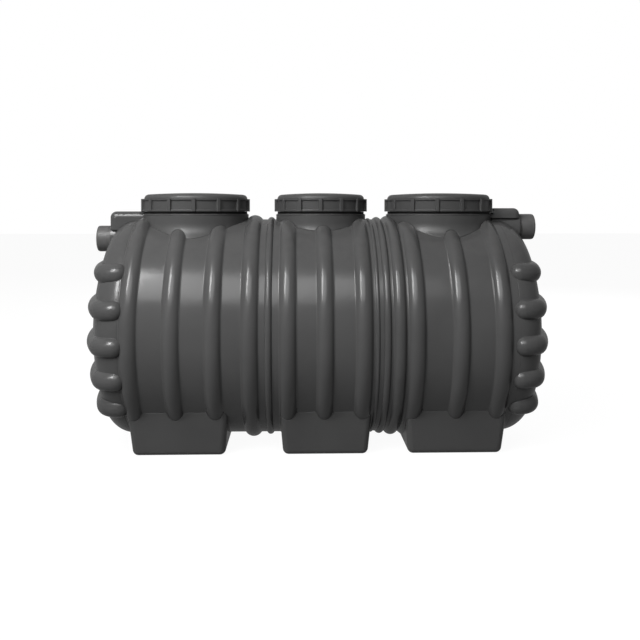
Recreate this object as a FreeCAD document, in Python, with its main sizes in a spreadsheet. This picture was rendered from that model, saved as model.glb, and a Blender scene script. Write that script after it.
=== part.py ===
# Three-chamber septic tank of moulded plastic: corrugated barrels, ribbed dished
# ends, flared manhole necks with screw lids, tapered feet and two pipe stubs.
# Frame: X along the tank, Z up, origin on the floor under the middle.
import FreeCAD, Part
import math
import os
import Sketcher

doc = FreeCAD.newDocument("SepticTank")

# Driving sizes in millimetres. "Axis" sizes are heights above the tank's own axis.
# Places along the tank are measured from its middle, towards the inlet.
SIZES = [
    ("AxisHeight", 474, "tank axis above the floor"),
    ("SkinRadius", 450, "outside of the plain barrel wall"),
    ("Wall", 8, "moulded wall of the tank and its fittings"),
    ("LeftJoint", -196, "joint of the left and middle barrels"),
    ("RightJoint", 254, "joint of the middle and right barrels"),
    ("EndJoint", 755, "joint of barrel and dished end, each side"),
    ("HoopHeight", 18, "full hoop above the skin"),
    ("HoopHalfWidth", 36, "full hoop, half the width of its foot"),
    ("HoopCrown", 38, "full hoop, radius of its round top"),
    ("SlimHeight", 15, "slim hoop above the skin"),
    ("SlimHalfWidth", 27, "slim hoop, half the width of its foot"),
    ("SlimCrown", 26, "slim hoop, radius of its round top"),
    ("RidgeHeight", 5, "thin ridge above the skin"),
    ("RidgeHalfWidth", 9, "thin ridge, half the width of its foot"),
    ("RidgeCrown", 8.5, "thin ridge, radius of its round top"),
    ("HoopOne", -717, "hoop over the left foot"),
    ("HoopTwo", -559, "hoop over the left foot"),
    ("HoopThree", -405, "hoop over the left foot"),
    ("HoopFour", -266, "hoop before the left joint"),
    ("HoopFive", -122, "hoop over the middle foot"),
    ("HoopSix", 20, "hoop over the middle foot"),
    ("HoopSeven", 167, "hoop over the middle foot"),
    ("RidgePlace", 217, "thin ridge before the right joint"),
    ("HoopEight", 301, "slim hoop after the right joint"),
    ("HoopNine", 366, "hoop over the right foot"),
    ("HoopTen", 533, "hoop over the right foot"),
    ("HoopEleven", 693, "hoop over the right foot"),
    ("SeamHeight", 10, "weld collar above the skin"),
    ("SeamHalfWidth", 14, "weld collar, half its width"),
    ("KnuckleRadius", 105, "dished end, curve of its edge"),
    ("DishDepth", 170, "dished end, from its joint to its middle"),
    ("RibRadius", 40, "end rib, radius of its round section"),
    ("RibHeight", 24, "end rib above the dished skin"),
    ("RibSetback", 17, "rib tips beyond the end's joint"),
    ("RibOne", 244, "axis, end ribs from the top down"),
    ("RibTwo", 110, "axis"),
    ("RibThree", -24, "axis"),
    ("RibFour", -155, "axis"),
    ("RibFive", -270, "axis"),
    ("LeftNeckPlace", -518, "centre of the left neck"),
    ("MiddleNeckPlace", 15, "centre of the middle neck"),
    ("RightNeckPlace", 522, "centre of the right neck"),
    ("LargeNeckRadius", 223, "outside of the two large necks"),
    ("SmallNeckRadius", 191, "outside of the middle neck"),
    ("FlareStart", 437, "axis, top of the flare at a neck's foot"),
    ("FlareRadius", 80, "curve of the flare"),
    ("FlareSweep", 35, "turn of the flare in degrees"),
    ("SaddleDepth", 345, "axis, lowest level of a neck's foot"),
    ("ShoulderHeight", 475, "axis, flat shoulder of a neck"),
    ("ShoulderRound", 9, "rounded edge of the shoulder"),
    ("CollarStep", 18, "from a neck's outside in to its collar"),
    ("CollarTop", 522, "axis, rim of the collar"),
    ("GasketWidth", 12, "rubber ring on the shoulder"),
    ("GasketHeight", 8.2, "thickness of the rubber ring"),
    ("SeatGap", 0.3, "running gap under a lid"),
    ("LidGap", 5, "clearance between lid ring and collar"),
    ("LidOverhang", 9, "lid ring's lugs beyond the neck's outside"),
    ("PanelRecess", 9, "lid ring's panels inside its lugs"),
    ("RimRecess", 4, "lid ring's rims inside its lugs"),
    ("RimHeight", 7, "height of each rim of the lid ring"),
    ("RingWall", 5, "wall of the lid ring"),
    ("RingTop", 536, "axis, top of the lid ring"),
    ("LugCount", 14, "grip lugs round a lid"),
    ("LugWidth", 16, "width of a lug"),
    ("LugRound", 3, "rounded outer corners of a lug"),
    ("LeftLugTurn", 4.7, "turn of each lid's lugs in degrees"),
    ("MiddleLugTurn", -1.8, "turn of the middle lid's lugs in degrees"),
    ("RightLugTurn", -11.1, "turn of the right lid's lugs in degrees"),
    ("CoverInset", 14, "cover edge inside the ring's lugs"),
    ("CoverHeight", 25.5, "cover above the lid ring"),
    ("CoverKnuckle", 19, "rounded edge of the cover"),
    ("CoverWall", 6, "cover wall"),
    ("FootCornerRadius", 24, "rounded edges of the feet"),
    ("FootTopLevel", -250, "axis, top of the feet's blocks"),
    ("FootHalfDepth", 349, "half of a foot across the tank, at its top"),
    ("FootDraftDepth", 42, "how far a foot draws in across the tank"),
    ("FootDraftLength", 18, "how far a foot draws in along the tank"),
    ("LeftFootPlace", -550, "centre of the left foot"),
    ("MiddleFootPlace", 25, "centre of the middle foot"),
    ("RightFootPlace", 537, "centre of the right foot"),
    ("LeftFootHalf", 199, "half of the left foot along the tank, at its top"),
    ("MiddleFootHalf", 185, "half of the middle foot along the tank"),
    ("RightFootHalf", 204, "half of the right foot along the tank"),
    ("OutletFace", 872, "outlet box, outer face from the middle"),
    ("InletFace", 862, "inlet box, outer face from the middle"),
    ("BoxHalfWidth", 72, "pipe boxes across the tank"),
    ("BoxInner", 690, "pipe boxes, hidden inner end"),
    ("BoxCorner", 26, "rounded edges of the pipe boxes"),
    ("BoxStep", 4, "pipe boxes, step below the shoulder under the lid ring"),
    ("OutletBoxTop", 484, "axis, top of the outlet box"),
    ("InletBoxTop", 498, "axis, top of the inlet box"),
    ("BoxFloor", 38, "underside of a pipe box above the pipe's centre"),
    ("OutletPipe", 368, "axis, outlet pipe centre, left"),
    ("InletPipe", 418, "axis, inlet pipe centre, right"),
    ("PipeRadius", 55, "drain pipe outside"),
    ("PipeWall", 3.4, "drain pipe wall"),
    ("PipeEnd", 932, "pipe ends from the middle"),
    ("PipeInner", 790, "pipe inner ends from the middle"),
    ("PipeStep", 1.2, "inner run of a pipe, smaller in radius than its free end"),
    ("PipeShoulder", 12, "shoulder of a pipe beyond its box's face"),
    ("PipeBevel", 6, "bevel on a pipe's outer end"),
    ("SealWidth", 5, "rubber ring round a pipe"),
    ("SealLength", 8, "length of the rubber ring, set in the box's face"),
]

sizes = doc.addObject("Spreadsheet::Sheet", "Sizes")
for row, (alias, number, note) in enumerate(SIZES, start=1):
    sizes.set("A%d" % row, str(number))
    sizes.setAlias("A%d" % row, alias)
    sizes.set("B%d" % row, note)
doc.recompute()


class Size:
    """A length with both its number now and the expression that keeps it tied to the sheet."""

    def __init__(self, number, rule):
        self.number = float(number)
        self.rule = rule

    def __add__(self, other):
        return Size(self.number + other.number, "(%s + %s)" % (self.rule, other.rule))

    def __sub__(self, other):
        return Size(self.number - other.number, "(%s - %s)" % (self.rule, other.rule))

    def __mul__(self, other):
        return Size(self.number * other.number, "(%s * %s)" % (self.rule, other.rule))

    def __truediv__(self, other):
        return Size(self.number / other.number, "(%s / %s)" % (self.rule, other.rule))

    def __neg__(self):
        return Size(-self.number, "(-1 * %s)" % self.rule)

    def root(self):
        return Size(math.sqrt(self.number), "sqrt(%s)" % self.rule)

    def sine(self):
        return Size(math.sin(math.radians(self.number)), "sin(%s * 1 deg)" % self.rule)

    def cosine(self):
        return Size(math.cos(math.radians(self.number)), "cos(%s * 1 deg)" % self.rule)


def size(alias):
    return Size(sizes.get(alias), "Sizes.%s" % alias)


ZERO = Size(0, "0")
TWO = Size(2, "2")
WALL = size("Wall")
AXIS = size("AxisHeight")
SKIN = size("SkinRadius")
PIPE_HOLE = size("PipeRadius") + size("SealWidth")


# Sketch helpers

def new_body(name):
    body = doc.addObject("PartDesign::Body", name)
    body.Label = name
    return body


def origin_plane(body, role):
    for feature in body.Origin.OriginFeatures:
        if feature.Role == role:
            return feature
    raise ValueError(role)


def new_sketch(body, name, role="XZ_Plane", offset=ZERO):
    sketch = body.newObject("Sketcher::SketchObject", name)
    sketch.AttachmentSupport = (origin_plane(body, role), [""])
    sketch.MapMode = "FlatFace"
    if offset is not ZERO:
        sketch.setExpression(".AttachmentOffset.Base.z", offset.rule)
    return sketch


def bind(sketch, kind, geometry, point, length):
    """One driving constraint whose value follows the sheet."""
    parts = [kind, geometry, length.number] if point is None else [kind, geometry, point, length.number]
    index = sketch.addConstraint(Sketcher.Constraint(*parts))
    sketch.setExpression("Constraints[%d]" % index, length.rule)


def bind_point(sketch, geometry, point, x, y):
    bind(sketch, "DistanceX", geometry, point, x)
    bind(sketch, "DistanceY", geometry, point, y)


def line(sketch, start, end):
    first = FreeCAD.Vector(start[0].number, start[1].number, 0)
    last = FreeCAD.Vector(end[0].number, end[1].number, 0)
    return sketch.addGeometry(Part.LineSegment(first, last), False)


def loose_arc(sketch, x, y, radius, start, end):
    """A counter-clockwise arc about (x, y) between two angles in radians."""
    upward = FreeCAD.Vector(0, 0, 1)
    circle = Part.Circle(FreeCAD.Vector(x.number, y.number, 0), upward, radius.number)
    return sketch.addGeometry(Part.ArcOfCircle(circle, start, end), False)


def arc(sketch, x, y, radius, start, end):
    """The same arc with its radius bound."""
    index = loose_arc(sketch, x, y, radius, start, end)
    bind(sketch, "Radius", index, None, radius)
    return index


def link(sketch, kind, first, first_end, second, second_end):
    sketch.addConstraint(Sketcher.Constraint(kind, first, first_end, second, second_end))


def polygon(sketch, corners):
    """A closed outline of straight sides through bound corners."""
    sides = []
    for corner, following in zip(corners, corners[1:] + corners[:1]):
        sides.append(line(sketch, corner, following))
    for side, following in zip(sides, sides[1:] + sides[:1]):
        link(sketch, "Coincident", side, 2, following, 1)
    for side, (x, y) in zip(sides, corners):
        bind_point(sketch, side, 1, x, y)
    return sides


def revolve(body, sketch, axis="H_Axis", kind="PartDesign::Revolution"):
    turned = body.newObject(kind, sketch.Name + "_turned")
    turned.Profile = sketch
    turned.ReferenceAxis = (sketch, [axis])
    turned.Angle = 360
    sketch.Visibility = False
    return turned


def place(item, x=None, z=None):
    if x is not None:
        item.setExpression("Placement.Base.x", x.rule)
    if z is not None:
        item.setExpression("Placement.Base.z", z.rule)


# Booleans and plain round bars

def cut(name, base, tools):
    """Base less every tool."""
    result = base
    for number, tool in enumerate(tools, start=1):
        step_name = name if number == len(tools) else "%s_cut%d" % (name, number)
        step = doc.addObject("Part::Cut", step_name)
        step.Base = result
        step.Tool = tool
        step.Refine = False
        result = step
    result.Label = name
    return result


def fuse(name, items):
    joined = doc.addObject("Part::MultiFuse", name)
    joined.Shapes = items
    return joined


def mirror(name, item):
    """The same piece at the other end of the tank."""
    mirrored = doc.addObject("Part::Mirroring", name)
    mirrored.Source = item
    mirrored.Normal = FreeCAD.Vector(1, 0, 0)
    return mirrored


def upright_bar(name, x, bottom, length, radius):
    bar = doc.addObject("Part::Cylinder", name)
    bar.setExpression("Radius", radius.rule)
    bar.setExpression("Height", length.rule)
    place(bar, x, bottom)
    return bar


def lying_bar(name, sign, near, far, height, radius):
    """A cylinder along the tank, from near to far on the left (-1) or right (1) side."""
    start = near if sign > 0 else -far
    bar = doc.addObject("Part::Cylinder", name)
    bar.setExpression("Radius", radius.rule)
    bar.setExpression("Height", (far - near).rule)
    bar.Placement.Rotation = FreeCAD.Rotation(FreeCAD.Vector(0, 1, 0), 90)
    place(bar, start, height)
    return bar


# Corrugated barrels

HOOP_SIZES = {
    "full": (size("HoopHeight"), size("HoopHalfWidth"), size("HoopCrown")),
    "slim": (size("SlimHeight"), size("SlimHalfWidth"), size("SlimCrown")),
    "ridge": (size("RidgeHeight"), size("RidgeHalfWidth"), size("RidgeCrown")),
}


def hoop_arcs(sketch, middle, kind, inset):
    """A hoop: a round crown that runs into the skin through a soft foot on each side."""
    height, half, crown = HOOP_SIZES[kind]
    reach = (half * half + height * height) / (TWO * height)
    foot = reach - crown
    lean = math.asin(half.number / reach.number)
    quarter = math.pi / 2
    foot_height = SKIN + foot
    crown_height = SKIN + height - crown
    left = arc(sketch, middle - half, foot_height, foot + inset, -quarter, -quarter + lean)
    top = arc(sketch, middle, crown_height, crown - inset, quarter - lean, quarter + lean)
    right = arc(sketch, middle + half, foot_height, foot + inset, -quarter - lean, -quarter)
    bind_point(sketch, top, 3, middle, crown_height)
    link(sketch, "Tangent", left, 2, top, 2)
    link(sketch, "Tangent", top, 1, right, 1)
    return left, right


def barrel_solid(name, start, end, hoops, inset):
    """A barrel's outline turned about the tank's axis: flat runs joined by hoops.

    The outline is the skin itself, or lies inset inside it to make the hollow."""
    body = new_body(name)
    sketch = new_sketch(body, name + "_profile")
    skin = SKIN - inset
    flats = []
    x_now = start
    hoop_ends = []
    for place_name, kind in hoops:
        middle = size(place_name)
        half = HOOP_SIZES[kind][1]
        flats.append(line(sketch, (x_now, skin), (middle - half, skin)))
        hoop_ends.append(hoop_arcs(sketch, middle, kind, inset))
        x_now = middle + half
    flats.append(line(sketch, (x_now, skin), (end, skin)))
    for (left, right), flat, following in zip(hoop_ends, flats, flats[1:]):
        link(sketch, "Tangent", flat, 2, left, 1)
        link(sketch, "Tangent", right, 2, following, 1)
    for flat in flats:
        bind(sketch, "DistanceY", flat, 1, skin)
        sketch.addConstraint(Sketcher.Constraint("Horizontal", flat))
    far_side = line(sketch, (end, skin), (end, ZERO))
    axis_side = line(sketch, (end, ZERO), (start, ZERO))
    near_side = line(sketch, (start, ZERO), (start, skin))
    link(sketch, "Coincident", flats[-1], 2, far_side, 1)
    link(sketch, "Coincident", far_side, 2, axis_side, 1)
    link(sketch, "Coincident", axis_side, 2, near_side, 1)
    link(sketch, "Coincident", near_side, 2, flats[0], 1)
    bind(sketch, "DistanceX", flats[0], 1, start)
    bind(sketch, "DistanceX", flats[-1], 2, end)
    bind_point(sketch, axis_side, 1, end, ZERO)
    bind_point(sketch, axis_side, 2, start, ZERO)
    revolve(body, sketch)
    place(body, z=AXIS)
    return body


BARRELS = {
    "left": (-size("EndJoint"), size("LeftJoint"),
             [("HoopOne", "full"), ("HoopTwo", "full"), ("HoopThree", "full"), ("HoopFour", "full")]),
    "middle": (size("LeftJoint"), size("RightJoint"),
               [("HoopFive", "full"), ("HoopSix", "full"), ("HoopSeven", "full"), ("RidgePlace", "ridge")]),
    "right": (size("RightJoint"), size("EndJoint"),
              [("HoopEight", "slim"), ("HoopNine", "full"), ("HoopTen", "full"), ("HoopEleven", "full")]),
}

barrel_forms = {}
barrel_cores = {}
for side, (start, end, hoops) in BARRELS.items():
    hollow_hoops = [hoop for hoop in hoops if hoop[1] != "ridge"]
    barrel_forms[side] = barrel_solid(side + "_barrel_form", start, end, hoops, ZERO)
    barrel_cores[side] = barrel_solid(side + "_barrel_core", start, end, hollow_hoops, WALL)


# Dished outlines, shared by the tank's ends and the lid covers

def dished_profile(sketch, axis, seat, radius, knuckle, depth, inset):
    """Knuckle and crown arcs, tangent to each other, on a flat seat.

    axis is X for an outline turned about the sketch's X, and Y for one turned about its Y.
    Returns the crown's full radius and the place of its centre along the axis."""
    ring = radius - knuckle
    crown = (depth * depth + ring * ring - knuckle * knuckle) / (TWO * (depth - knuckle))
    centre = seat + depth - crown
    lean = math.atan2(ring.number, (crown - depth).number)
    apex = seat + depth - inset
    rim = radius - inset
    quarter = math.pi / 2
    if axis == "X":
        base = line(sketch, (seat, ZERO), (seat, rim))
        edge = arc(sketch, seat, ring, knuckle - inset, lean, quarter)
        bowl = loose_arc(sketch, centre, ZERO, crown - inset, 0, lean)
        axis_side = line(sketch, (apex, ZERO), (seat, ZERO))
        bind_point(sketch, base, 1, seat, ZERO)
        bind_point(sketch, edge, 3, seat, ring)
        bind_point(sketch, axis_side, 1, apex, ZERO)
        bind(sketch, "DistanceX", edge, 2, seat)
        bind(sketch, "DistanceY", bowl, 3, ZERO)
        link(sketch, "Coincident", base, 2, edge, 2)
        link(sketch, "Tangent", edge, 1, bowl, 2)
        link(sketch, "Coincident", bowl, 1, axis_side, 1)
    else:
        base = line(sketch, (ZERO, seat), (rim, seat))
        edge = arc(sketch, ring, seat, knuckle - inset, 0, quarter - lean)
        bowl = loose_arc(sketch, ZERO, centre, crown - inset, quarter - lean, quarter)
        axis_side = line(sketch, (ZERO, apex), (ZERO, seat))
        bind_point(sketch, base, 1, ZERO, seat)
        bind_point(sketch, edge, 3, ring, seat)
        bind_point(sketch, axis_side, 1, ZERO, apex)
        bind(sketch, "DistanceY", edge, 1, seat)
        bind(sketch, "DistanceX", bowl, 3, ZERO)
        link(sketch, "Coincident", base, 2, edge, 1)
        link(sketch, "Tangent", edge, 2, bowl, 1)
        link(sketch, "Coincident", bowl, 2, axis_side, 1)
    link(sketch, "Coincident", axis_side, 2, base, 1)
    return crown, centre


# Ribbed dished ends

RIB_PLACES = ["RibOne", "RibTwo", "RibThree", "RibFour", "RibFive"]


def end_rib(body, name, height, crown, centre, inset):
    """A round rib laid level over the dish, from tip to tip, with round tips.

    Its centre line lies just under the skin: one wide arc over the crown and a small arc
    over each knuckle, tangent to each other."""
    radius = size("RibRadius") - inset
    sunk = size("RibRadius") - size("RibHeight")
    tip_x = size("EndJoint") + size("RibSetback")
    wide = ((crown - sunk) * (crown - sunk) - height * height).root()
    tip_y = ((SKIN - sunk) * (SKIN - sunk) - height * height).root()
    span = tip_x - centre
    small = (wide * wide - span * span - tip_y * tip_y) / (TWO * (wide - tip_y))
    small_y = tip_y - small
    lean = math.atan2(small_y.number, span.number)
    quarter = math.pi / 2
    path = new_sketch(body, name + "_path", "XY_Plane", height)
    far = loose_arc(path, tip_x, small_y, small, lean, quarter)
    bowl = arc(path, centre, ZERO, wide, -lean, lean)
    near = loose_arc(path, tip_x, -small_y, small, -quarter, -lean)
    link(path, "Tangent", far, 1, bowl, 2)
    link(path, "Tangent", bowl, 1, near, 2)
    bind_point(path, bowl, 3, centre, ZERO)
    bind_point(path, far, 2, tip_x, tip_y)
    bind_point(path, near, 1, tip_x, -tip_y)
    bind(path, "DistanceX", far, 3, tip_x)
    bind(path, "DistanceX", near, 3, tip_x)
    section = new_sketch(body, name + "_section", "YZ_Plane", tip_x)
    upward = FreeCAD.Vector(0, 0, 1)
    circle = Part.Circle(FreeCAD.Vector(tip_y.number, height.number, 0), upward, radius.number)
    round_line = section.addGeometry(circle, False)
    bind(section, "Radius", round_line, None, radius)
    bind_point(section, round_line, 3, tip_y, height)
    tube = body.newObject("PartDesign::AdditivePipe", name + "_tube")
    tube.Profile = section
    tube.Spine = (path, [])
    path.Visibility = False
    section.Visibility = False
    for tip, tip_place in (("near", -tip_y), ("far", tip_y)):
        ball = body.newObject("PartDesign::AdditiveSphere", "%s_%s_tip" % (name, tip))
        ball.setExpression("Radius", radius.rule)
        ball.setExpression(".AttachmentOffset.Base.x", tip_x.rule)
        ball.setExpression(".AttachmentOffset.Base.y", tip_place.rule)
        ball.setExpression(".AttachmentOffset.Base.z", height.rule)
        ball.AttachmentSupport = (origin_plane(body, "XY_Plane"), [""])
        ball.MapMode = "FlatFace"


def end_solid(name, inset):
    body = new_body(name)
    sketch = new_sketch(body, name + "_profile")
    crown, centre = dished_profile(sketch, "X", size("EndJoint"), SKIN, size("KnuckleRadius"),
                                   size("DishDepth"), inset)
    revolve(body, sketch)
    for place_name in RIB_PLACES:
        end_rib(body, "%s_%s" % (name, place_name), size(place_name), crown, centre, inset)
    place(body, z=AXIS)
    return body


right_form = end_solid("right_end_form", ZERO)
right_core = end_solid("right_end_core", WALL)
end_forms = {"right": right_form, "left": mirror("left_end_form", right_form)}
end_cores = {"right": right_core, "left": mirror("left_end_core", right_core)}

# The whole outside of the tank, which everything seated on it is cut to
tank_form = fuse("tank_form", list(barrel_forms.values()) + list(end_forms.values()))


# Weld collars round the joints

def seam(name, joint):
    """A low round band on the skin, over the joint."""
    half = size("SeamHalfWidth")
    height = size("SeamHeight")
    radius = (half * half + height * height) / (TWO * height)
    lean = math.asin(half.number / radius.number)
    quarter = math.pi / 2
    body = new_body(name)
    sketch = new_sketch(body, name + "_profile")
    base = line(sketch, (joint - half, SKIN), (joint + half, SKIN))
    top = arc(sketch, joint, SKIN + height - radius, radius, quarter - lean, quarter + lean)
    link(sketch, "Coincident", base, 2, top, 1)
    link(sketch, "Coincident", base, 1, top, 2)
    bind_point(sketch, base, 1, joint - half, SKIN)
    bind_point(sketch, base, 2, joint + half, SKIN)
    revolve(body, sketch)
    place(body, z=AXIS)
    return body


# Manhole necks

NECKS = {
    "left": (size("LeftNeckPlace"), size("LargeNeckRadius")),
    "middle": (size("MiddleNeckPlace"), size("SmallNeckRadius")),
    "right": (size("RightNeckPlace"), size("LargeNeckRadius")),
}


def neck_solid(name, neck_place, radius, inset):
    """The neck's outline turned about its upright axis: flared foot, shoulder and collar.

    The outline is the outside, or lies inset inside it to make the passage."""
    body = new_body(name)
    sketch = new_sketch(body, name + "_profile")
    flare = size("FlareRadius")
    sweep = size("FlareSweep")
    turn = math.radians(sweep.number)
    start = size("FlareStart")
    floor = size("SaddleDepth")
    top = size("CollarTop")
    shoulder = size("ShoulderHeight") - inset
    collar = radius - size("CollarStep") - inset
    side_x = radius - inset
    rounding = size("ShoulderRound")
    foot_x = radius + flare - (flare + inset) * sweep.cosine()
    foot_z = start - (flare + inset) * sweep.sine()
    base_x = foot_x + (foot_z - floor) * sweep.sine() / sweep.cosine()
    axis_side = line(sketch, (ZERO, top), (ZERO, floor))
    base = line(sketch, (ZERO, floor), (base_x, floor))
    skirt = line(sketch, (base_x, floor), (foot_x, foot_z))
    bend = arc(sketch, radius + flare, start, flare + inset, math.pi, math.pi + turn)
    side = line(sketch, (side_x, start), (side_x, shoulder - rounding))
    edge = arc(sketch, side_x - rounding, shoulder - rounding, rounding, 0, math.pi / 2)
    ledge = line(sketch, (side_x - rounding, shoulder), (collar, shoulder))
    rise = line(sketch, (collar, shoulder), (collar, top))
    rim = line(sketch, (collar, top), (ZERO, top))
    chain = [axis_side, base, skirt]
    for first, second in zip(chain, chain[1:]):
        link(sketch, "Coincident", first, 2, second, 1)
    link(sketch, "Tangent", skirt, 2, bend, 2)
    link(sketch, "Tangent", bend, 1, side, 1)
    link(sketch, "Tangent", side, 2, edge, 1)
    link(sketch, "Tangent", edge, 2, ledge, 1)
    chain = [ledge, rise, rim, axis_side]
    for first, second in zip(chain, chain[1:]):
        link(sketch, "Coincident", first, 2, second, 1)
    for flat in (base, ledge, rim):
        sketch.addConstraint(Sketcher.Constraint("Horizontal", flat))
    for upright in (side, rise):
        sketch.addConstraint(Sketcher.Constraint("Vertical", upright))
    bind_point(sketch, axis_side, 1, ZERO, top)
    bind_point(sketch, axis_side, 2, ZERO, floor)
    bind_point(sketch, bend, 3, radius + flare, start)
    bind(sketch, "DistanceX", skirt, 2, foot_x)
    bind(sketch, "DistanceY", ledge, 2, shoulder)
    bind(sketch, "DistanceX", rise, 1, collar)
    revolve(body, sketch, "V_Axis")
    place(body, neck_place, AXIS)
    return body


neck_forms = {}
neck_cores = {}
manholes = {}
for side, (neck_place, radius) in NECKS.items():
    neck_forms[side] = neck_solid(side + "_neck_form", neck_place, radius, ZERO)
    neck_cores[side] = neck_solid(side + "_neck_core", neck_place, radius, WALL)
    manholes[side] = upright_bar(side + "_manhole", neck_place, AXIS, size("CollarTop"), radius - WALL)


# Feet: hollow tapered blocks that the barrels sit into

FEET = {
    "left": (size("LeftFootPlace"), size("LeftFootHalf")),
    "middle": (size("MiddleFootPlace"), size("MiddleFootHalf")),
    "right": (size("RightFootPlace"), size("RightFootHalf")),
}


def foot_block(name, foot_place, half_length, inset):
    """A rounded block that narrows downwards, modelled upside along its own Y."""
    top_x = half_length - inset
    low_x = top_x - size("FootDraftLength")
    top_y = size("FootHalfDepth") - inset
    low_y = top_y - size("FootDraftDepth")
    body = new_body(name)
    block = body.newObject("PartDesign::AdditiveWedge", name + "_wedge")
    bounds = {
        "Xmin": -low_x, "Xmax": low_x, "Zmin": -low_y, "Zmax": low_y,
        "X2min": -top_x, "X2max": top_x, "Z2min": -top_y, "Z2max": top_y,
        "Ymin": inset, "Ymax": AXIS + size("FootTopLevel"),
    }
    for key, bound in bounds.items():
        block.setExpression(key, bound.rule)
    doc.recompute()
    top = max(vertex.Y for vertex in block.Shape.Vertexes)
    edges = []
    for number, edge in enumerate(block.Shape.Edges, start=1):
        if any(vertex.Y < top - 1 for vertex in edge.Vertexes):
            edges.append("Edge%d" % number)
    rounded = body.newObject("PartDesign::Fillet", name + "_rounded")
    rounded.Base = (block, edges)
    rounded.setExpression("Radius", (size("FootCornerRadius") - inset).rule)
    body.Placement.Rotation = FreeCAD.Rotation(FreeCAD.Vector(1, 0, 0), 90)
    place(body, foot_place)
    return body


# Pipe boxes, pipes and seals

class Pipe:
    """Where one pipe leaves the tank: its end (-1 left, 1 right), heights, box face and neck."""

    def __init__(self, sign, name, side):
        self.sign = sign
        self.height = AXIS + size(name + "Pipe")
        self.box_top = AXIS + size(name + "BoxTop")
        self.face = size(name + "Face")
        self.side = side


PIPES = {"outlet": Pipe(-1, "Outlet", "left"), "inlet": Pipe(1, "Inlet", "right")}


def box_block(name, pipe, inset):
    """A block with its outer face and top edges rounded."""
    bottom = pipe.height + size("BoxFloor") + inset
    length = pipe.face - size("BoxInner") - inset
    half = size("BoxHalfWidth") - inset
    body = new_body(name)
    block = body.newObject("PartDesign::AdditiveBox", name + "_box")
    block.setExpression("Length", length.rule)
    block.setExpression("Width", (TWO * half).rule)
    block.setExpression("Height", (pipe.box_top - bottom - inset).rule)
    doc.recompute()
    edges = []
    for number, edge in enumerate(block.Shape.Edges, start=1):
        at_face = all(vertex.X > 1 for vertex in edge.Vertexes)
        at_top = all(vertex.Z > 1 for vertex in edge.Vertexes)
        at_back = all(vertex.X < 1 for vertex in edge.Vertexes)
        at_bottom = all(vertex.Z < 1 for vertex in edge.Vertexes)
        if (at_face or at_top) and not at_back and not at_bottom:
            edges.append("Edge%d" % number)
    rounded = body.newObject("PartDesign::Fillet", name + "_rounded")
    rounded.Base = (block, edges)
    rounded.setExpression("Radius", (size("BoxCorner") - inset).rule)
    if pipe.sign < 0:
        body.Placement.Rotation = FreeCAD.Rotation(FreeCAD.Vector(0, 0, 1), 180)
        body.setExpression("Placement.Base.y", half.rule)
        place(body, -size("BoxInner"), bottom)
    else:
        body.setExpression("Placement.Base.y", (-half).rule)
        place(body, size("BoxInner"), bottom)
    return body


def pipe_box(name, pipe, hole):
    """A hollow box over the pipe's entry, with a round boss under it that follows the pipe."""
    neck_place, radius = NECKS[pipe.side]
    form = fuse(name + "_form", [
        box_block(name + "_block", pipe, ZERO),
        lying_bar(name + "_boss", pipe.sign, size("BoxInner"), pipe.face, pipe.height,
                  PIPE_HOLE + WALL)])
    core = box_block(name + "_core", pipe, WALL)
    # The box steps down and back under the lid ring, so that the lid lifts past it
    clear_radius = radius + size("LidOverhang") + size("LidGap")
    clear_bottom = AXIS + size("ShoulderHeight") - size("BoxStep")
    clear = upright_bar(name + "_clear", neck_place, clear_bottom, size("CollarTop"), clear_radius)
    keep = upright_bar(name + "_keep", neck_place, clear_bottom - WALL, size("CollarTop"),
                       clear_radius + WALL)
    hollow = cut(name + "_hollow", core, [keep])
    return cut(name, form, [hollow, clear, neck_forms[pipe.side], tank_form, hole])


def pipe_tube(name, pipe):
    """A drain pipe turned about its own axis: bevelled outer end, smaller inner run."""
    near = size("PipeInner")
    far = size("PipeEnd")
    outside = size("PipeRadius")
    inner_run = outside - size("PipeStep")
    shoulder = pipe.face + size("PipeShoulder")
    bore = outside - size("PipeWall")
    bevel = size("PipeBevel")
    tip = outside - size("PipeWall") / TWO
    body = new_body(name)
    sketch = new_sketch(body, name + "_profile")
    polygon(sketch, [(near, bore), (far, bore), (far, tip), (far - bevel, outside),
                     (shoulder, outside), (shoulder, inner_run), (near, inner_run)])
    revolve(body, sketch)
    if pipe.sign < 0:
        body.Placement.Rotation = FreeCAD.Rotation(FreeCAD.Vector(0, 0, 1), 180)
    place(body, z=pipe.height)
    return body


def pipe_seal(name, pipe):
    """The rubber ring between a pipe's inner run and the hole in the box's face."""
    near = pipe.face - size("SealLength")
    outer = lying_bar(name + "_outside", pipe.sign, near, pipe.face, pipe.height, PIPE_HOLE)
    inner = lying_bar(name + "_inside", pipe.sign, near, pipe.face, pipe.height,
                      size("PipeRadius") - size("PipeStep"))
    return cut(name, outer, [inner])


# Screw lids

def gasket(name, neck_place, radius):
    """The rubber ring on the neck's shoulder, just under the lid ring."""
    collar = radius - size("CollarStep")
    bottom = AXIS + size("ShoulderHeight")
    outer = upright_bar(name + "_outside", neck_place, bottom, size("GasketHeight"),
                        collar + size("GasketWidth"))
    inner = upright_bar(name + "_inside", neck_place, bottom, size("GasketHeight"), collar)
    return cut(name, outer, [inner])


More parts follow.
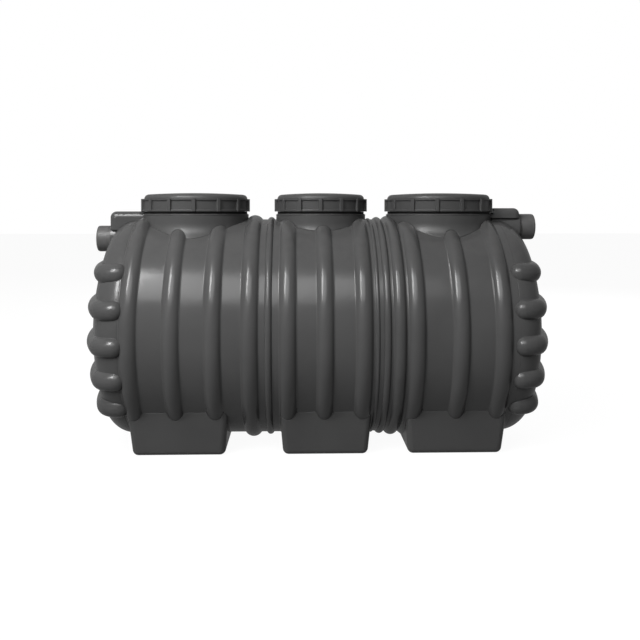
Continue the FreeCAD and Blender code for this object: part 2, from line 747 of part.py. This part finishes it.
def lug_outline(sketch, half, root, tip):
    """A lug seen from above: straight sides and rounded outer corners."""
    rounding = size("LugRound")
    quarter = math.pi / 2
    corner_x = half - rounding
    corner_y = tip + rounding
    inner = line(sketch, (-half, root), (half, root))
    right = line(sketch, (half, root), (half, corner_y))
    right_corner = arc(sketch, corner_x, corner_y, rounding, -quarter, 0)
    outer = line(sketch, (corner_x, tip), (-corner_x, tip))
    left_corner = arc(sketch, -corner_x, corner_y, rounding, math.pi, math.pi + quarter)
    left = line(sketch, (-half, corner_y), (-half, root))
    link(sketch, "Coincident", inner, 2, right, 1)
    link(sketch, "Tangent", right, 2, right_corner, 2)
    link(sketch, "Tangent", right_corner, 1, outer, 1)
    link(sketch, "Tangent", outer, 2, left_corner, 2)
    link(sketch, "Tangent", left_corner, 1, left, 1)
    link(sketch, "Coincident", left, 2, inner, 1)
    bind_point(sketch, inner, 1, -half, root)
    bind_point(sketch, inner, 2, half, root)
    bind_point(sketch, right_corner, 3, corner_x, corner_y)
    bind_point(sketch, left_corner, 3, -corner_x, corner_y)


def lid_ring(name, neck_place, radius, turn):
    """A screw ring of channel section, with recessed panels between rims and grip lugs."""
    lug_radius = radius + size("LidOverhang")
    rim_radius = lug_radius - size("RimRecess")
    panel = lug_radius - size("PanelRecess")
    inner = radius - size("CollarStep") + size("LidGap")
    wall = size("RingWall")
    bottom = size("ShoulderHeight") + size("GasketHeight") + size("SeatGap")
    top = size("RingTop")
    rim = size("RimHeight")
    body = new_body(name)
    sketch = new_sketch(body, name + "_profile")
    polygon(sketch, [
        (rim_radius, bottom), (rim_radius, bottom + rim), (panel, bottom + rim),
        (panel, top - rim), (rim_radius, top - rim), (rim_radius, top),
        (inner, top), (inner, bottom), (inner + wall, bottom),
        (inner + wall, top - wall), (panel - wall, top - wall), (panel - wall, bottom)])
    revolve(body, sketch, "V_Axis")
    lug_sketch = new_sketch(body, name + "_lug_profile", "XY_Plane", bottom)
    lug_outline(lug_sketch, size("LugWidth") / TWO, wall / TWO - panel, -lug_radius)
    lug = body.newObject("PartDesign::Pad", name + "_lug")
    lug.Profile = lug_sketch
    lug.setExpression("Length", (top - bottom).rule)
    lugs = body.newObject("PartDesign::PolarPattern", name + "_lugs")
    lugs.Originals = [lug]
    lugs.Axis = (lug_sketch, ["N_Axis"])
    lugs.Angle = 360
    lugs.setExpression("Occurrences", size("LugCount").rule)
    body.Tip = lugs
    lug_sketch.Visibility = False
    body.Placement.Rotation = FreeCAD.Rotation(FreeCAD.Vector(0, 0, 1), turn.number)
    place(body, neck_place, AXIS)
    return body


def lid_cover(name, neck_place, radius):
    """A shallow dished cover with a rounded edge, hollow below, standing on the lid ring."""
    rim = radius + size("LidOverhang") - size("CoverInset")
    body = new_body(name)
    outline = (size("RingTop"), rim, size("CoverKnuckle"), size("CoverHeight"))
    outside = new_sketch(body, name + "_outside")
    dished_profile(outside, "Y", *outline, ZERO)
    revolve(body, outside, "V_Axis")
    inside = new_sketch(body, name + "_inside")
    dished_profile(inside, "Y", *outline, size("CoverWall"))
    revolve(body, inside, "V_Axis", "PartDesign::Groove")
    place(body, neck_place, AXIS)
    return body


# The pieces

LUG_TURNS = {"left": size("LeftLugTurn"), "middle": size("MiddleLugTurn"), "right": size("RightLugTurn")}

nodes = []
pipe_holes = {}
for name, pipe in PIPES.items():
    pipe_holes[pipe.side] = lying_bar(name + "_hole", pipe.sign, size("EndJoint"), size("PipeEnd"),
                                      pipe.height, PIPE_HOLE)
for side in BARRELS:
    nodes.append(cut(side + "_barrel", barrel_forms[side], [barrel_cores[side], manholes[side]]))
    nodes.append(cut(side + "_neck", neck_forms[side], [neck_cores[side], tank_form]))
for side in end_forms:
    nodes.append(cut(side + "_end", end_forms[side],
                     [end_cores[side], barrel_forms[side], pipe_holes[side]]))
nodes.append(seam("left_seam", size("LeftJoint")))
nodes.append(seam("right_seam", size("RightJoint")))
for side, (foot_place, half_length) in FEET.items():
    form = foot_block(side + "_foot_form", foot_place, half_length, ZERO)
    core = foot_block(side + "_foot_core", foot_place, half_length, WALL)
    nodes.append(cut(side + "_foot", form, [core, tank_form]))
for name, pipe in PIPES.items():
    nodes.append(pipe_box(name + "_box", pipe, pipe_holes[pipe.side]))
    nodes.append(pipe_tube(name + "_pipe", pipe))
    nodes.append(pipe_seal(name + "_seal", pipe))
for side, (neck_place, radius) in NECKS.items():
    nodes.append(gasket(side + "_gasket", neck_place, radius))
    nodes.append(lid_ring(side + "_lid_ring", neck_place, radius, LUG_TURNS[side]))
    nodes.append(lid_cover(side + "_lid_cover", neck_place, radius))

doc.recompute()
for item in doc.Objects:
    if "Invalid" in item.State or "Error" in item.State:
        raise RuntimeError("%s failed to build: %s" % (item.Name, item.State))
for node in nodes:
    if node.Shape.isNull() or not node.Shape.isValid():
        raise RuntimeError("%s has no valid shape" % node.Label)

os.makedirs("parts", exist_ok=True)
for node in nodes:
    node.Shape.exportStep("parts/%s.step" % node.Label)
    litres = node.Shape.Volume / 1000000
    print("%-16s solids %d, %.3f litres" % (node.Label, len(node.Shape.Solids), litres))
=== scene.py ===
"""A three-chamber septic tank of dark moulded plastic, dressed for rendering.

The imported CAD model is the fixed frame. This script gives its pieces their plastics and
rubber, adds a fine bead to each neck, and sets the camera and a plain pale studio.
"""

import math

import bmesh
import bpy
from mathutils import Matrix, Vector


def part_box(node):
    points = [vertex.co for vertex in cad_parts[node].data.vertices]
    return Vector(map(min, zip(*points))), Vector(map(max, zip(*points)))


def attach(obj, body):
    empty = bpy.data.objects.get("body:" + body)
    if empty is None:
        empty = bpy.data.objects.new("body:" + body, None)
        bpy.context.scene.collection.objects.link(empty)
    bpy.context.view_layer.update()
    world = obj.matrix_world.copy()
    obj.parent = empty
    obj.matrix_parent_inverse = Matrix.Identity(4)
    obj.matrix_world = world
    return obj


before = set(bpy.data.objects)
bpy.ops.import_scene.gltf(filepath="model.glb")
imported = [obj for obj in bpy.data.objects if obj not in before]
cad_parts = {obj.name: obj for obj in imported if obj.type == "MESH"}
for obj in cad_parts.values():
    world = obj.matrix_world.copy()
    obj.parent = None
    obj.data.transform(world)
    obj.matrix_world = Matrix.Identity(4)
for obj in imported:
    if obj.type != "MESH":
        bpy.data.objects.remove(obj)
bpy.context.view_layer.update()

# The height of the barrel's axis in metres, worked out from the frame
seam_low, seam_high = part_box("left_seam")
AXIS_HEIGHT = (seam_low.z + seam_high.z) / 2

SIDES = ("left", "middle", "right")
NECK_NODES = [side + "_neck" for side in SIDES]
TANK_NODES = [side + kind for side in SIDES for kind in ("_barrel", "_foot")] + [
    "left_end", "right_end", "left_seam", "right_seam", "outlet_box", "inlet_box"]
LID_NODES = [side + kind for side in SIDES for kind in ("_lid_ring", "_lid_cover")]
PIPE_NODES = ["outlet_pipe", "inlet_pipe"]
RUBBER_NODES = ["outlet_seal", "inlet_seal"] + [side + "_gasket" for side in SIDES]


# Materials

NOISE_LOW = 0.3
NOISE_HIGH = 0.7


def colour_socket(sockets, name):
    """The colour socket of this name: a mix node has others with the same name."""
    return next(socket for socket in sockets if socket.name == name and socket.type == "RGBA")


class Nodes:
    """The node tree of a material or a world, with short calls for the nodes used here."""

    def __init__(self, owner):
        owner.use_nodes = True
        self.owner = owner
        self.tree = owner.node_tree
        self.tree.nodes.clear()

    def add(self, kind, **settings):
        """A new node of this kind."""
        node = self.tree.nodes.new(kind)
        for name, setting in settings.items():
            setattr(node, name, setting)
        return node

    def link(self, source, target):
        """A link from an output to an input."""
        self.tree.links.new(source, target)

    def noise(self, scale, detail, roughness=0.5, distortion=0.0, stretch=None):
        """Noise by the piece's own place, mostly from NOISE_LOW to NOISE_HIGH."""
        place = self.add("ShaderNodeTexCoord").outputs["Object"]
        if stretch is not None:
            mapping = self.add("ShaderNodeMapping")
            mapping.inputs["Scale"].default_value = stretch
            self.link(place, mapping.inputs["Vector"])
            place = mapping.outputs["Vector"]
        noise = self.add("ShaderNodeTexNoise")
        noise.inputs["Scale"].default_value = scale
        noise.inputs["Detail"].default_value = detail
        noise.inputs["Roughness"].default_value = roughness
        noise.inputs["Distortion"].default_value = distortion
        self.link(place, noise.inputs["Vector"])
        return noise.outputs["Fac"]

    def spread(self, source, low, high, start=NOISE_LOW, end=NOISE_HIGH):
        """The source's range from start to end, moved to low and high."""
        spread = self.add("ShaderNodeMapRange")
        spread.inputs["From Min"].default_value = start
        spread.inputs["From Max"].default_value = end
        spread.inputs["To Min"].default_value = low
        spread.inputs["To Max"].default_value = high
        self.link(source, spread.inputs["Value"])
        return spread.outputs["Result"]

    def mix(self, share, first, second):
        """A colour between first and second, which are colours or sockets."""
        mix = self.add("ShaderNodeMix", data_type="RGBA")
        self.link(share, mix.inputs["Factor"])
        for name, colour in (("A", first), ("B", second)):
            target = colour_socket(mix.inputs, name)
            if isinstance(colour, tuple):
                target.default_value = (*colour, 1)
            else:
                self.link(colour, target)
        return colour_socket(mix.outputs, "Result")

    def maths(self, operation, first, second):
        """An operation on two terms, which are numbers or sockets."""
        node = self.add("ShaderNodeMath", operation=operation)
        for socket, term in zip(node.inputs, (first, second)):
            if isinstance(term, (int, float)):
                socket.default_value = term
            else:
                self.link(term, socket)
        return node.outputs["Value"]

    def bump(self, height, distance, normal=None):
        """A bump by a height from 0 to 1, times the distance in metres."""
        bump = self.add("ShaderNodeBump")
        bump.inputs["Distance"].default_value = distance
        self.link(height, bump.inputs["Height"])
        if normal is not None:
            self.link(normal, bump.inputs["Normal"])
        return bump.outputs["Normal"]

    def rounded_edges(self, radius):
        """The surface's normal, with sharp edges rounded off by this radius."""
        bevel = self.add("ShaderNodeBevel", samples=6)
        bevel.inputs["Radius"].default_value = radius
        return bevel.outputs["Normal"]

    def upward(self, start, end, share):
        """How far the surface faces up: from 0 at start to share at end."""
        parts = self.add("ShaderNodeSeparateXYZ")
        normal = self.add("ShaderNodeNewGeometry").outputs["Normal"]
        self.link(normal, parts.inputs["Vector"])
        return self.spread(parts.outputs["Z"], 0, share, start, end)

    def surface(self, colour, roughness, normal, ior=1.5):
        """The finished material."""
        shader = self.add("ShaderNodeBsdfPrincipled")
        shader.inputs["IOR"].default_value = ior
        self.link(colour, shader.inputs["Base Color"])
        self.link(roughness, shader.inputs["Roughness"])
        self.link(normal, shader.inputs["Normal"])
        output = self.add("ShaderNodeOutputMaterial")
        self.link(shader.outputs["BSDF"], output.inputs["Surface"])
        return self.owner


def moulded_plastic(name, dark, light, dust_and_top_light, gloss):
    """Moulded polyethylene: slow changes of tone, faint wiped streaks, a fine pebbled skin
    and, on what faces up, a paler speckled tone: painted top light mixed with dust."""
    n = Nodes(bpy.data.materials.new(name))
    tone = n.mix(n.spread(n.noise(scale=3.2, detail=4), 0, 1), dark, light)
    streaks = n.noise(scale=6, detail=1, distortion=0.2, stretch=(1, 1, 0.35))
    tone = n.mix(n.spread(streaks, 0, 0.35), tone, light)
    # Painted top light: what faces up is mixed toward a paler tone, mottled by dust-like specks
    specks = n.spread(n.noise(scale=22, detail=6, roughness=0.65), 0.2, 1)
    dust_and_top_light_share = n.maths("MULTIPLY", n.upward(start=0.35, end=1, share=0.5), specks)
    tone = n.mix(dust_and_top_light_share, tone, dust_and_top_light)
    rough = n.maths("ADD", n.spread(streaks, -0.02, 0.02),
                    n.spread(n.noise(scale=14, detail=1), gloss - 0.01, gloss + 0.01))
    waves = n.bump(n.noise(scale=11, detail=2), 0.0013, normal=n.rounded_edges(radius=0.003))
    pebbles = n.bump(n.noise(scale=420, detail=2), 0.00006, normal=waves)
    return n.surface(tone, rough, pebbles)


def pipe_plastic(name, dark, light):
    """Drawn drain pipe: fine rings from the die round its length."""
    n = Nodes(bpy.data.materials.new(name))
    tone = n.mix(n.spread(n.noise(scale=18, detail=4), 0, 1), dark, light)
    rings = n.noise(scale=150, detail=3, roughness=0.6, stretch=(1, 0.02, 0.02))
    tone = n.mix(n.spread(rings, 0, 0.25), tone, light)
    rough = n.spread(n.noise(scale=40, detail=3), 0.36, 0.48)
    return n.surface(tone, rough, n.bump(rings, 0.0007))


def black_rubber(name, dark, light):
    """Matt rubber with a dry, powdery bloom."""
    n = Nodes(bpy.data.materials.new(name))
    tone = n.mix(n.spread(n.noise(scale=45, detail=5, roughness=0.6), 0, 1), dark, light)
    rough = n.spread(n.noise(scale=120, detail=3), 0.66, 0.8)
    grain = n.bump(n.noise(scale=900, detail=2), 0.0002)
    return n.surface(tone, rough, grain, ior=1.45)


# The third tone of each plastic is the paler colour painted onto what faces up: painted top light
# with dust
tank_skin = moulded_plastic("tank_skin", dark=(0.057, 0.057, 0.057), light=(0.072, 0.072, 0.072),
                            dust_and_top_light=(0.100, 0.099, 0.098), gloss=0.23)
neck_skin = moulded_plastic("neck_skin", dark=(0.050, 0.050, 0.050), light=(0.064, 0.064, 0.064),
                            dust_and_top_light=(0.090, 0.089, 0.088), gloss=0.36)
lid_skin = moulded_plastic("lid_skin", dark=(0.046, 0.046, 0.046), light=(0.062, 0.062, 0.062),
                           dust_and_top_light=(0.100, 0.098, 0.094), gloss=0.38)
pipe_skin = pipe_plastic("pipe_skin", dark=(0.075, 0.075, 0.075), light=(0.105, 0.104, 0.103))
rubber_skin = black_rubber("rubber_skin", dark=(0.012, 0.012, 0.012), light=(0.022, 0.022, 0.021))

for names, material in ((TANK_NODES, tank_skin), (NECK_NODES, neck_skin), (LID_NODES, lid_skin),
                        (PIPE_NODES, pipe_skin), (RUBBER_NODES, rubber_skin)):
    for name in names:
        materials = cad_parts[name].data.materials
        materials.clear()
        materials.append(material)


# A fine bead round each neck, just under its lid

BEAD_WIDTH = 0.004
BEAD_HEIGHT = 0.0012
BEAD_DROP = 0.006
BEAD_STEPS = 160
BEAD_ARC_STEPS = 8
BEAD_ROOT_SHARE = 0.6


def rounded_bead(radius, width, height):
    """A half-round bead on a wall of this radius, its root just inside the wall."""
    root = radius - height * BEAD_ROOT_SHARE
    outline = [(root, -width / 2), (root, width / 2)]
    for step in range(BEAD_ARC_STEPS + 1):
        turn = math.pi * step / BEAD_ARC_STEPS
        outline.append((radius + height * math.sin(turn), width / 2 * math.cos(turn)))
    return outline


def turned_ring(name, centre, outline, material, body):
    """A closed outline of (radius, height) pairs turned about the upright line at centre."""
    form = bmesh.new()
    loops = []
    for step in range(BEAD_STEPS):
        turn = math.tau * step / BEAD_STEPS
        loops.append([form.verts.new((centre.x + radius * math.cos(turn),
                                      centre.y + radius * math.sin(turn),
                                      centre.z + height)) for radius, height in outline])
    for loop, following in zip(loops, loops[1:] + loops[:1]):
        for corner in range(len(outline)):
            beside = (corner + 1) % len(outline)
            form.faces.new((loop[corner], following[corner], following[beside], loop[beside]))
    bmesh.ops.recalc_face_normals(form, faces=form.faces)
    for face in form.faces:
        face.smooth = True
    mesh = bpy.data.meshes.new(name)
    form.to_mesh(mesh)
    form.free()
    mesh.materials.append(material)
    ring = bpy.data.objects.new(name, mesh)
    bpy.context.scene.collection.objects.link(ring)
    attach(ring, body)


for side in SIDES:
    low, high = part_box(side + "_neck")
    gasket_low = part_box(side + "_gasket")[0]
    centre = Vector(((low.x + high.x) / 2, 0, gasket_low.z - BEAD_DROP))
    outline = rounded_bead((high.x - low.x) / 2, BEAD_WIDTH, BEAD_HEIGHT)
    turned_ring(side + "_neck_bead", centre, outline, neck_skin, "tank")


# Camera: placed and aimed as the photograph's was, worked out from the curves of the hoops

CAMERA_RIGHT = -0.0867
CAMERA_BACK = -3.2406
CAMERA_UP = 0.4814
CAMERA_PITCH = 1.5
CAMERA_YAW = 1.532
FOCAL_WIDTHS = 1.17531
SENSOR = 36.0
SHIFT_RIGHT = 0.0044
SHIFT_UP = -0.138

camera_data = bpy.data.cameras.new("camera")
camera_data.sensor_width = SENSOR
camera_data.lens = FOCAL_WIDTHS * SENSOR
camera_data.shift_x = SHIFT_RIGHT
camera_data.shift_y = SHIFT_UP
camera = bpy.data.objects.new("camera", camera_data)
camera.location = (CAMERA_RIGHT, CAMERA_BACK, AXIS_HEIGHT + CAMERA_UP)
camera.rotation_euler = (math.radians(90 - CAMERA_PITCH), 0, math.radians(-CAMERA_YAW))
bpy.context.scene.collection.objects.link(camera)
bpy.context.scene.camera = camera


# Lamps: name, azimuth and elevation in degrees, distance, width and height in metres, watts,
# and whether the tank mirrors them. The last three are broad fills.

LAMPS = (
    ("core", -39, 42.5, 4.0, 0.45, 1.6, 56, True),
    ("key", -17, 43, 4.2, 2.4, 2.0, 50, True),
    ("glint", 12, 43.5, 4.2, 0.7, 1.4, 7, True),
    ("fill", -40, 45, 6.0, 6.2, 2.6, 14, False),
    ("front", -38, 24, 6.0, 4.0, 2.6, 215, False),
    ("rear", 160, 30, 6.0, 5.0, 2.6, 190, False),
)


def softbox(name, azimuth, elevation, distance, width, height, power, mirrored):
    """A soft lamp that faces the tank's middle from an azimuth (0 in front, + to the right)."""
    data = bpy.data.lights.new(name, "AREA")
    data.shape = "RECTANGLE"
    data.size = width
    data.size_y = height
    data.energy = power
    lamp = bpy.data.objects.new(name, data)
    turn = math.radians(azimuth)
    rise = math.radians(elevation)
    away = Vector((math.sin(turn) * math.cos(rise), -math.cos(turn) * math.cos(rise), math.sin(rise)))
    lamp.location = Vector((0, 0, AXIS_HEIGHT)) + away * distance
    lamp.rotation_euler = (-away).to_track_quat("-Z", "Y").to_euler()
    lamp.visible_glossy = mirrored
    bpy.context.scene.collection.objects.link(lamp)


for lamp in LAMPS:
    softbox(*lamp)


# Floor and background: white to the camera, and much dimmer in the tank's reflections

FLOOR_HALF = 30.0
FLOOR_TONE = 0.09
FLOOR_MOTTLE = 0.98
FLOOR_GLOW = 0.95
GLOSSY_SHARE = 0.2
AMBIENT = 0.11


def seen_share(n):
    """1 where the camera or a clear piece sees the background, GLOSSY_SHARE in reflections."""
    rays = n.add("ShaderNodeLightPath")
    seen = n.maths("MAXIMUM", rays.outputs["Is Camera Ray"], rays.outputs["Is Transmission Ray"])
    mirrored = n.maths("MULTIPLY", rays.outputs["Is Glossy Ray"], GLOSSY_SHARE)
    return n.maths("MAXIMUM", seen, mirrored)


def floor_paint(name):
    """The pale floor: it glows white to the camera and keeps the tank's shadow."""
    n = Nodes(bpy.data.materials.new(name))
    tone = (FLOOR_TONE, FLOOR_TONE, FLOOR_TONE)
    darker = tuple(FLOOR_MOTTLE * part for part in tone)
    shade = n.add("ShaderNodeBsdfDiffuse")
    n.link(n.mix(n.spread(n.noise(scale=3, detail=3), 0, 1), tone, darker), shade.inputs["Color"])
    white = n.add("ShaderNodeEmission")
    n.link(n.maths("MULTIPLY", seen_share(n), FLOOR_GLOW), white.inputs["Strength"])
    total = n.add("ShaderNodeAddShader")
    n.link(shade.outputs["BSDF"], total.inputs[0])
    n.link(white.outputs["Emission"], total.inputs[1])
    output = n.add("ShaderNodeOutputMaterial")
    n.link(total.outputs["Shader"], output.inputs["Surface"])
    return n.owner


corners = [(-FLOOR_HALF, -FLOOR_HALF, 0), (FLOOR_HALF, -FLOOR_HALF, 0),
           (FLOOR_HALF, FLOOR_HALF, 0), (-FLOOR_HALF, FLOOR_HALF, 0)]
floor_mesh = bpy.data.meshes.new("floor")
floor_mesh.from_pydata(corners, [], [(0, 1, 2, 3)])
floor_mesh.materials.append(floor_paint("floor_paint"))
floor = bpy.data.objects.new("floor", floor_mesh)
bpy.context.scene.collection.objects.link(floor)

world = bpy.data.worlds.new("studio")
bpy.context.scene.world = world
sky = Nodes(world)
background = sky.add("ShaderNodeBackground")
background.inputs["Color"].default_value = (1, 1, 1, 1)
sky.link(sky.spread(seen_share(sky), AMBIENT, 1, start=0, end=1), background.inputs["Strength"])
output = sky.add("ShaderNodeOutputWorld")
sky.link(background.outputs["Background"], output.inputs["Surface"])

bpy.context.scene.view_settings.view_transform = "Standard"
